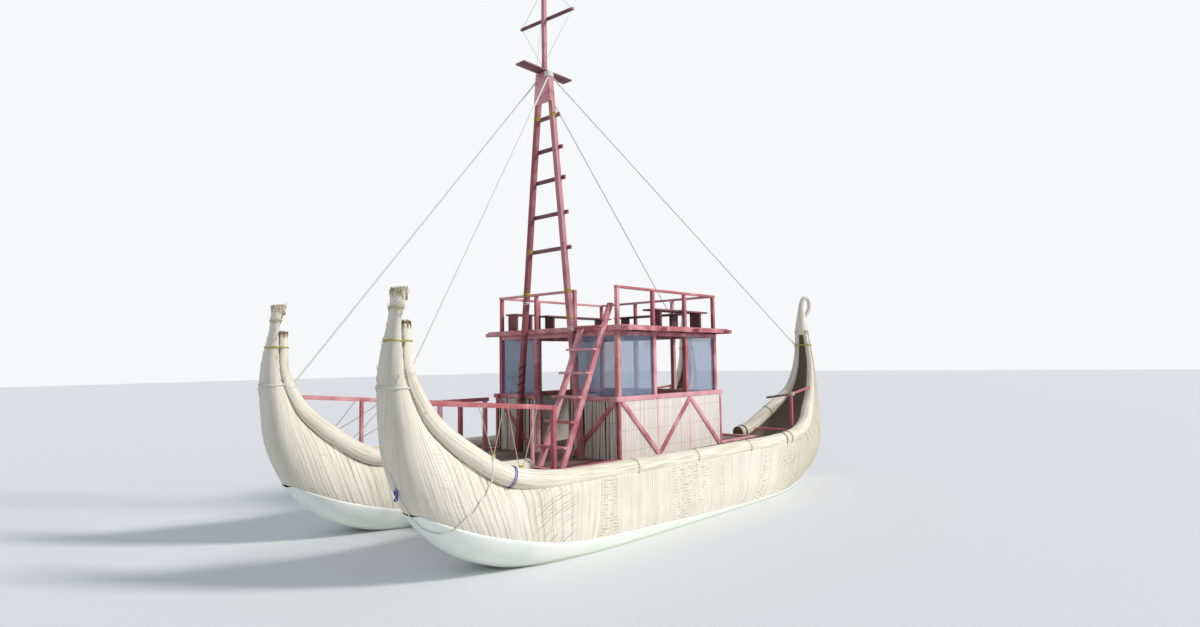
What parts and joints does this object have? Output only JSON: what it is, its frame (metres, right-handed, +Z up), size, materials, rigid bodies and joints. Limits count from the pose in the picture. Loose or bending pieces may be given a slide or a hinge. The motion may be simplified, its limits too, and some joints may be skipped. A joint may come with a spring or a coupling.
{
  "type": "reed boat",
  "caption": "Twin-hulled reed boat with upturned prows, railed deck cabin with a roof deck and ladder, and an A-frame mast.",
  "frame": {"origin": "on the centreline, amidships, at the waterline", "axes": "+X towards the bows, +Y to port, +Z up"},
  "size_m": [10.125, 4.29, 8.88],
  "materials": {
    "float_skin": "satin",
    "reeds": "matte",
    "reed_bundle": "matte",
    "reed_mat": "matte",
    "clear_sheet": "gloss",
    "stay_cord": "matte",
    "deck_paint": "matte",
    "mast_wood": "matte",
    "bare_wood": "matte",
    "red_paint": "matte"
  },
  "bodies": {
    "root": {"aft_reed_wall": "reed_mat", "backstays": "stay_cord", "cabin_posts": "red_paint", "cabin_sills": "red_paint", "cross_beams": "bare_wood", "crosstree": "red_paint", "deck_kerbs": "red_paint", "deck_planks": "deck_paint", "foredeck_posts": "red_paint", "forestays": "stay_cord", "front_braces": "red_paint", "front_panes": "clear_sheet", "front_reed_walls": "reed_mat", "ladder_stringers": "red_paint", "ladder_treads": "red_paint", "mast_legs": "mast_wood", "mast_rungs": "mast_wood", "masthead_panel": "red_paint", "port_bow_rail": "red_paint", "port_braces": "red_paint", "port_float": "float_skin", "port_hull": "reeds", "port_inner_rolls": "reed_bundle", "port_outer_roll": "reed_bundle", "port_reed_wall": "reed_mat", "port_sleepers": "bare_wood", "port_stern_frame": "red_paint", "port_stern_horn": "reed_bundle", "roof_beams": "red_paint", "roof_fascias": "red_paint", "roof_planks": "deck_paint", "side_panes": "clear_sheet", "starboard_bow_post": "red_paint", "starboard_bow_rail": "red_paint", "starboard_braces": "red_paint", "starboard_deck_rail": "red_paint", "starboard_float": "float_skin", "starboard_hull": "reeds", "starboard_inner_rolls": "reed_bundle", "starboard_outer_roll": "reed_bundle", "starboard_reed_wall": "reed_mat", "starboard_sleepers": "bare_wood", "starboard_stern_frame": "red_paint", "starboard_stern_horn": "reed_bundle", "topmast": "mast_wood", "upper_benches": "red_paint", "upper_rail_posts": "red_paint", "upper_rails": "red_paint", "wall_plates": "red_paint", "yard": "mast_wood"}
  },
  "joints": []
}
